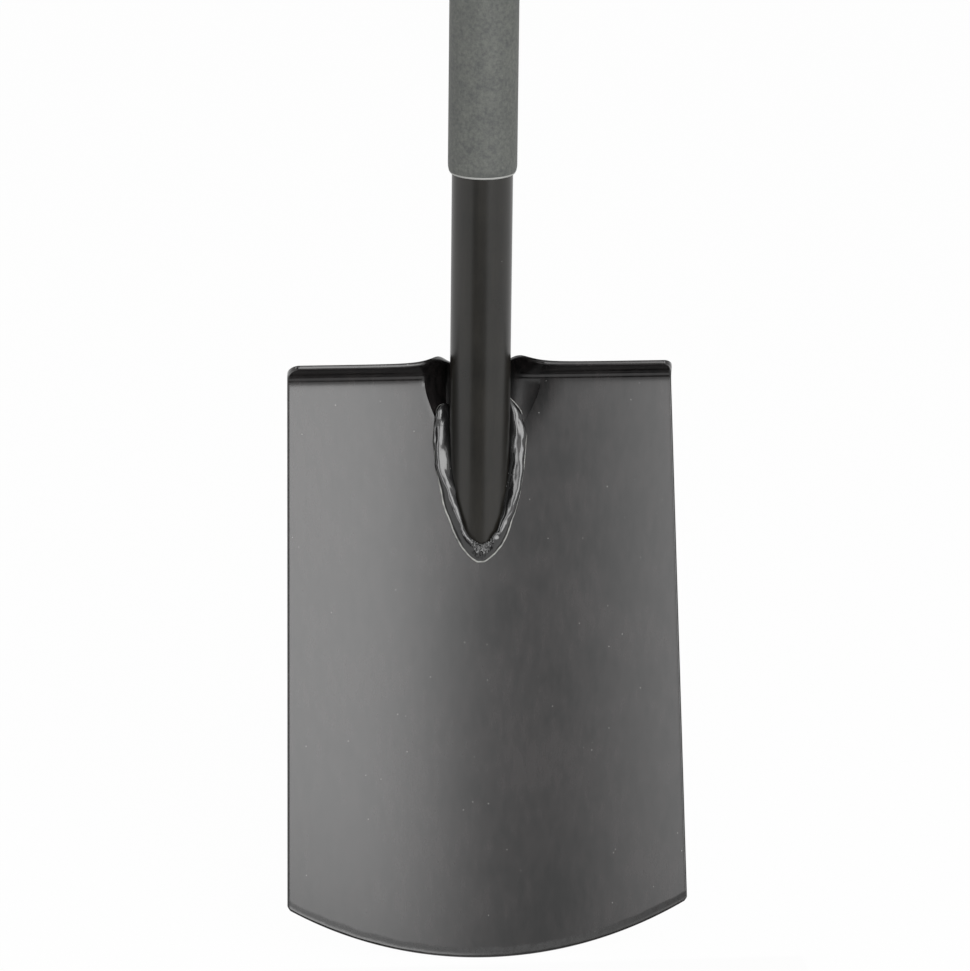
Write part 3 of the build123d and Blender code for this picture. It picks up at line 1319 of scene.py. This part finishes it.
    def end_share(self, place: float, form: BeadEnd) -> float:
        """Share of its full size that a bead keeps towards an end.

        Args:
            place: Place along the bead, 0 at its middle and 1 at the end.
            form: How the bead ends.

        Returns:
            Share from 0 to 1.
        """
        start = self.round_start if form is BeadEnd.ROUND else self.point_start
        past = max(place - start, 0) / (1 - start)
        if form is BeadEnd.ROUND:
            return math.sqrt(max(1 - past**2, 0))
        return 1 - past**self.point_power

    def surface_offset(self, section: Station, share: float, turn: float) -> Vector:
        """Place a point of a bead's lumpy surface against the middle of its section.

        Args:
            section: Cross section of the bead.
            share: Place along the bead.
            turn: Angle round the section, 0 at the toe and a right angle at the crest.

        Returns:
            Offset in millimetres.
        """
        bow = 2 / self.section_power
        side = math.copysign(abs(math.cos(turn)) ** bow, math.cos(turn))
        top = math.copysign(abs(math.sin(turn)) ** bow, math.sin(turn))
        rise = section.height if top > 0 else section.depth
        shift = side + section.lean * max(top, 0)
        run = share * self.path_length / self.lump_length
        grain = Vector((run, side * section.half_width / self.lump_width, top * self.lump_rise))
        lump = noise.noise(grain) + self.fine_share * noise.noise(grain * self.fine_scale)
        rough = self.tip_lumps * self.tip(share) * max(top, 0)
        lump += rough * noise.noise(grain * self.tip_scale)
        offset = section.across * section.half_width * shift + section.out * rise * top
        return offset * (1 + self.lump_share * lump)

    def roll(
        self,
        shape: bmesh.types.BMesh,
        around: int,
        place: Callable[[float, float], Vector],
    ) -> None:
        """Add a grid rolled into a closed tube along a path.

        Args:
            shape: Mesh that gets the tube.
            around: Number of faces round the tube.
            place: Gives a point in millimetres for a place along and an angle round the tube.
        """
        made = bmesh.ops.create_grid(shape, x_segments=self.stations, y_segments=around, size=1.0)
        for vert in made["verts"]:
            vert.co = place(round(vert.co.x, 6), math.pi * vert.co.y) * MM
        bmesh.ops.remove_doubles(shape, verts=made["verts"], dist=self.join * MM)

    def front_shape(self) -> bmesh.types.BMesh:
        """Model the bead round the tube's front, with the rim of paint at its toe, painted pale as a
        highlight, and its spatter.

        Returns:
            The mesh in metres.
        """
        shape = bmesh.new()

        def on_bead(share: float, turn: float) -> Vector:
            """Point of the bead itself."""
            section = self.front_station(share)
            return section.middle + self.surface_offset(section, share, turn)

        def on_rim(share: float, turn: float) -> Vector:
            """Point of the rim, which follows the lumpy toe."""
            section = self.front_station(share)
            edge = section.middle + self.surface_offset(section, share, 0.0)
            keep = min(section.half_width / self.rim_fade, 1.0)
            wide = section.across * self.rim_half_width * keep * (math.cos(turn) + self.rim_shift)
            return edge + wide + section.out * self.rim_height * keep * math.sin(turn)

        wear_and_highlight = shape.verts.layers.float.new("wear_and_highlight")
        self.roll(shape, self.rim_around, on_rim)
        # The rim is marked for the pale colour, a painted highlight along the toe.
        for vert in shape.verts:
            vert[wear_and_highlight] = 1.0
        self.roll(shape, self.around, on_bead)
        chance = random.Random(self.spatter_seed)
        for k in range(self.spatter_count):
            spatter = self.side_spatter if k % (self.side_per_tip + 1) else self.tip_spatter
            share = chance.uniform(*spatter.places)
            spot = on_bead(share, math.pi * chance.uniform(*spatter.turns))
            size = self.spatter_radius * chance.uniform(*self.spatter_sizes)
            bmesh.ops.create_icosphere(
                shape, subdivisions=2, radius=size * MM, matrix=Matrix.Translation(spot * MM)
            )
        return shape

    def rear_shape(self) -> bmesh.types.BMesh:
        """Model the bead behind the sheet's top edge.

        Returns:
            The mesh in metres.
        """
        shape = bmesh.new()

        def on_bead(share: float, turn: float) -> Vector:
            """Point of the bead."""
            section = self.rear_station(share)
            return section.middle + self.surface_offset(section, share, turn)

        self.roll(shape, self.around, on_bead)
        return shape

    def build(self) -> None:
        """Model both beads."""
        for name, shape, node in (
            ("front_weld_bead", self.front_shape(), "front_weld"),
            ("rear_weld_bead", self.rear_shape(), "rear_weld"),
        ):
            bmesh.ops.recalc_face_normals(shape, faces=shape.faces)
            add_piece(name, shape, WELD_ENAMEL, Slot.WELD, node)


@dataclass(frozen=True)
class SoftBox:
    """A soft box of the studio, placed round the spade by its bearing.

    Attributes:
        name: Name of the lamp.
        azimuth: Bearing from straight in front of the blade, to the right, in degrees.
        elevation: Bearing above level, in degrees.
        distance: Distance from the aim in metres.
        width: Width in metres.
        height: Height in metres.
        glow: Brightness of its face, where 1 is white.
        fade: Where its face is dark and where it has its full glow, as shares of its width
            from the left, or None for an even face.
    """

    name: str
    azimuth: float
    elevation: float
    distance: float
    width: float
    height: float
    glow: float
    fade: tuple[float, float] | None = None

    def build(self, aim: Vector) -> None:
        """Make the lamp and turn it to the aim.

        Args:
            aim: Point that the soft box faces.
        """
        away = towards(self.azimuth, self.elevation)
        lamp = bpy.data.lights.new(self.name, "AREA")
        lamp.shape = "RECTANGLE"
        lamp.size, lamp.size_y = self.width, self.height
        lamp.energy = self.glow * math.pi * self.width * self.height
        if self.fade:
            self.shade(lamp)
        made = bpy.data.objects.new(self.name, lamp)
        facing = away.to_track_quat("Z", "Y").to_matrix().to_4x4()
        made.matrix_world = Matrix.Translation(aim + away * self.distance) @ facing
        made.visible_camera = False
        bpy.context.scene.collection.objects.link(made)

    def shade(self, lamp: bpy.types.Light) -> None:
        """Let the lamp's face fade towards one side, as a feathered soft box does.

        Args:
            lamp: The lamp, whose nodes this sets.
        """
        tree = cleared_tree(lamp)
        face = add_node(tree, "ShaderNodeNewGeometry")
        across = add_node(tree, "ShaderNodeSeparateXYZ", {"Vector": face.outputs["Parametric"]})
        dark, full = self.fade
        ramp = add_node(
            tree,
            "ShaderNodeMapRange",
            {"Value": across.outputs["X"], "From Min": dark, "From Max": full},
        )
        glow = add_node(tree, "ShaderNodeEmission", {"Strength": ramp.outputs["Result"]})
        add_node(tree, "ShaderNodeOutputLight", {"Surface": glow.outputs["Emission"]})


@dataclass
class Studio:
    """White floor and surround, dark felts, soft boxes and the camera.

    Attributes:
        floor_half: Half of the floor's side in metres.
        floor_colour: Colour of the floor where it lights the spade, sRGB hex.
        fill: Brightness of the surround as a light.
        shadow_share: Share of the floor's own shading that the camera sees.
        felt_colour: Colour of the dark felts, sRGB hex.
        mat_lift: Height of the dark mat over the floor, in millimetres.
        mat_near: Where the dark mat on the floor starts, in metres from the spade to the camera.
        mat_far: Where it ends.
        mat_left: Bearing of its left side from straight in front, in degrees.
        mat_right: Bearing of its right side.
        strip_lift: Height of the dark strip over the floor, in millimetres.
        strip_near: Where the strip, before the cutting edge, starts in metres.
        strip_far: Where it ends.
        strip_half: Half of its width in metres.
        flag_left: Bearing of the dark flag's left side, in degrees.
        flag_right: Bearing of its right side.
        flag_distance: Distance of its two sides from the spade in metres.
        flag_low: Height of its lower edge in metres.
        flag_top: Height of its top edge in metres.
        aim: Point that the camera looks at, in millimetres.
        azimuth: Camera's bearing from straight in front, to the right, in degrees.
        elevation: Camera's bearing above level, in degrees.
        roll: Camera's turn about its own axis, in degrees.
        distance: Camera's distance from the aim in metres.
        lens: Focal length in millimetres.
        sensor: Width of the sensor in millimetres.
        clip: Nearest and farthest distance that the camera shows, in metres.
        boxes: The soft boxes.
    """

    floor_half: float = 30.0
    floor_colour: str = "#e8e8e8"
    fill: float = 0.3
    shadow_share: float = 0.02
    felt_colour: str = "#1c1c1c"
    mat_lift: float = 0.5
    mat_near: float = 0.48
    mat_far: float = 1.7
    mat_left: float = -37.0
    mat_right: float = 15.0
    strip_lift: float = 0.4
    strip_near: float = 0.075
    strip_far: float = 0.125
    strip_half: float = 0.15
    flag_left: float = -66.0
    flag_right: float = -28.0
    flag_distance: float = 1.6
    flag_low: float = 0.0
    flag_top: float = 0.9
    aim: tuple[float, float, float] = (2.87, 0.0, -203.0)
    azimuth: float = -5.6
    elevation: float = 17.5
    roll: float = 0.66
    distance: float = 2.4
    lens: float = 187.6
    sensor: float = 36.0
    clip: tuple[float, float] = (0.05, 100.0)
    boxes: tuple[SoftBox, ...] = (
        SoftBox("right_soft_box", 19.5, 26.5, 2.2, 1.17, 1.91, 5.4, (0.0, 0.28)),
        SoftBox("left_soft_box", -9.75, 26.5, 2.2, 0.717, 1.91, 6.1, (1.0, 0.0)),
        SoftBox("side_soft_box", -80.0, 20.0, 2.4, 0.9, 1.4, 3.0),
    )

    @staticmethod
    def white_seen(tree: bpy.types.NodeTree) -> bpy.types.NodeSocket:
        """Add nodes that tell what camera and mirrors see from what only lights the spade.

        Args:
            tree: Node tree of the floor or the surround.

        Returns:
            Socket that is 1 for seen rays and 0 for lighting rays.
        """
        path = add_node(tree, "ShaderNodeLightPath")
        mirrored = add_node(
            tree,
            "ShaderNodeMath",
            {0: path.outputs["Is Camera Ray"], 1: path.outputs["Is Glossy Ray"]},
            operation="MAXIMUM",
        )
        seen = add_node(
            tree,
            "ShaderNodeMath",
            {0: mirrored.outputs["Value"], 1: path.outputs["Is Transmission Ray"]},
            operation="MAXIMUM",
        )
        return seen.outputs["Value"]

    def surround(self) -> None:
        """Make the world white where it is seen and soft where it lights."""
        world = bpy.data.worlds.new("white_surround")
        tree = cleared_tree(world)
        level = add_node(
            tree,
            "ShaderNodeMapRange",
            {"Value": self.white_seen(tree), "To Min": self.fill, "To Max": 1.0},
        )
        sky = add_node(
            tree,
            "ShaderNodeBackground",
            {"Color": linear("#ffffff"), "Strength": level.outputs["Result"]},
        )
        add_node(tree, "ShaderNodeOutputWorld", {"Surface": sky.outputs["Background"]})
        bpy.context.scene.world = world

    @staticmethod
    def lay(
        name: str, material: bpy.types.Material, place: Callable[[float, float], Vector]
    ) -> bpy.types.Object:
        """Lay a flat sheet of the studio, which isn't part of the spade.

        Args:
            name: Name of the sheet.
            material: Its material.
            place: Gives a corner in metres for its two signs, across and along.

        Returns:
            The sheet's object.
        """
        shape = bmesh.new()
        for vert in bmesh.ops.create_grid(shape, x_segments=1, y_segments=1, size=1.0)["verts"]:
            vert.co = place(vert.co.x, vert.co.y)
        mesh = bpy.data.meshes.new(name)
        shape.to_mesh(mesh)
        shape.free()
        mesh.materials.append(material)
        made = bpy.data.objects.new(name, mesh)
        bpy.context.scene.collection.objects.link(made)
        made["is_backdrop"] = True
        return made

    def floor(self, height: float) -> None:
        """Lay the white floor, which keeps a share of its shading where it is seen.

        Args:
            height: Height of the floor in metres.
        """
        material = bpy.data.materials.new("white_floor_paint")
        tree = cleared_tree(material)
        matt = add_node(tree, "ShaderNodeBsdfDiffuse", {"Color": linear(self.floor_colour)})
        white = add_node(tree, "ShaderNodeEmission", {"Color": linear("#ffffff"), "Strength": 1.0})
        share = add_node(
            tree,
            "ShaderNodeMath",
            {0: self.white_seen(tree), 1: 1 - self.shadow_share},
            operation="MULTIPLY",
        )
        mixed = add_node(
            tree,
            "ShaderNodeMixShader",
            {0: share.outputs["Value"], 1: matt.outputs["BSDF"], 2: white.outputs["Emission"]},
        )
        add_node(tree, "ShaderNodeOutputMaterial", {"Surface": mixed.outputs["Shader"]})
        half = self.floor_half
        self.lay("studio_floor", material, lambda x, y: Vector((x * half, y * half, height)))

    def felts(self, height: float) -> None:
        """Lay a dark mat and strip before the spade and stand a dark flag at its left.

        Only the spade's gloss shows them.

        Args:
            height: Height of the floor in metres.
        """
        material = bpy.data.materials.new("dark_felt")
        tree = cleared_tree(material)
        felt = add_node(tree, "ShaderNodeBsdfDiffuse", {"Color": linear(self.felt_colour)})
        add_node(tree, "ShaderNodeOutputMaterial", {"Surface": felt.outputs["BSDF"]})

        def on_floor(x: float, y: float) -> Vector:
            """Corner of the mat."""
            away = self.mat_near if y > 0 else self.mat_far
            side = math.radians(self.mat_left if x < 0 else self.mat_right)
            return Vector((away * math.tan(side), -away, height + self.mat_lift * MM))

        def at_left(x: float, y: float) -> Vector:
            """Corner of the flag."""
            away = towards(self.flag_left if x < 0 else self.flag_right) * self.flag_distance
            return away + Vector((0, 0, self.flag_top if y > 0 else self.flag_low))

        def under_edge(x: float, y: float) -> Vector:
            """Corner of the strip."""
            away = self.strip_near if y > 0 else self.strip_far
            return Vector((self.strip_half * x, -away, height + self.strip_lift * MM))

        for name, corner in (
            ("studio_mat", on_floor),
            ("studio_flag", at_left),
            ("studio_strip", under_edge),
        ):
            self.lay(name, material, corner).visible_camera = False

    def camera(self) -> None:
        """Set the camera at the photograph's viewing angle."""
        turn, roll = math.radians(self.azimuth), math.radians(self.roll)
        back = towards(self.azimuth, self.elevation)
        level = Vector((math.cos(turn), math.sin(turn), 0))
        upright = back.cross(level)
        right = level * math.cos(roll) + upright * math.sin(roll)
        up = upright * math.cos(roll) - level * math.sin(roll)
        data = bpy.data.cameras.new("studio_camera")
        data.sensor_fit = "HORIZONTAL"
        data.sensor_width = self.sensor
        data.lens = self.lens
        data.clip_start, data.clip_end = self.clip
        made = bpy.data.objects.new("studio_camera", data)
        place = Matrix((right, up, back)).transposed().to_4x4()
        place.translation = Vector(self.aim) * MM + back * self.distance
        made.matrix_world = place
        bpy.context.scene.collection.objects.link(made)
        bpy.context.scene.camera = made

    def build(self, floor_height: float) -> None:
        """Make the whole studio.

        Args:
            floor_height: Height of the floor in metres.
        """
        bpy.context.scene.view_settings.view_transform = "Standard"
        self.surround()
        self.floor(floor_height)
        self.felts(floor_height)
        for box in self.boxes:
            box.build(Vector(self.aim) * MM)
        self.camera()
        log.info("studio: %d soft boxes, floor at %.4f m", len(self.boxes), floor_height)


def main() -> None:
    """Load the frame, build the spade's pieces and finishes, then the studio."""
    logging.basicConfig(level=logging.INFO, format="%(name)s: %(message)s")
    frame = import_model()
    cad_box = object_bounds()
    blade = Blade(Shaft())
    blade.build()
    WeldBeads(blade).build()
    for name, finish in NODE_FINISHES:
        dress_node(frame, name, finish)
    Studio().build(cad_box[0].z)


if __name__ == "__main__":
    main()
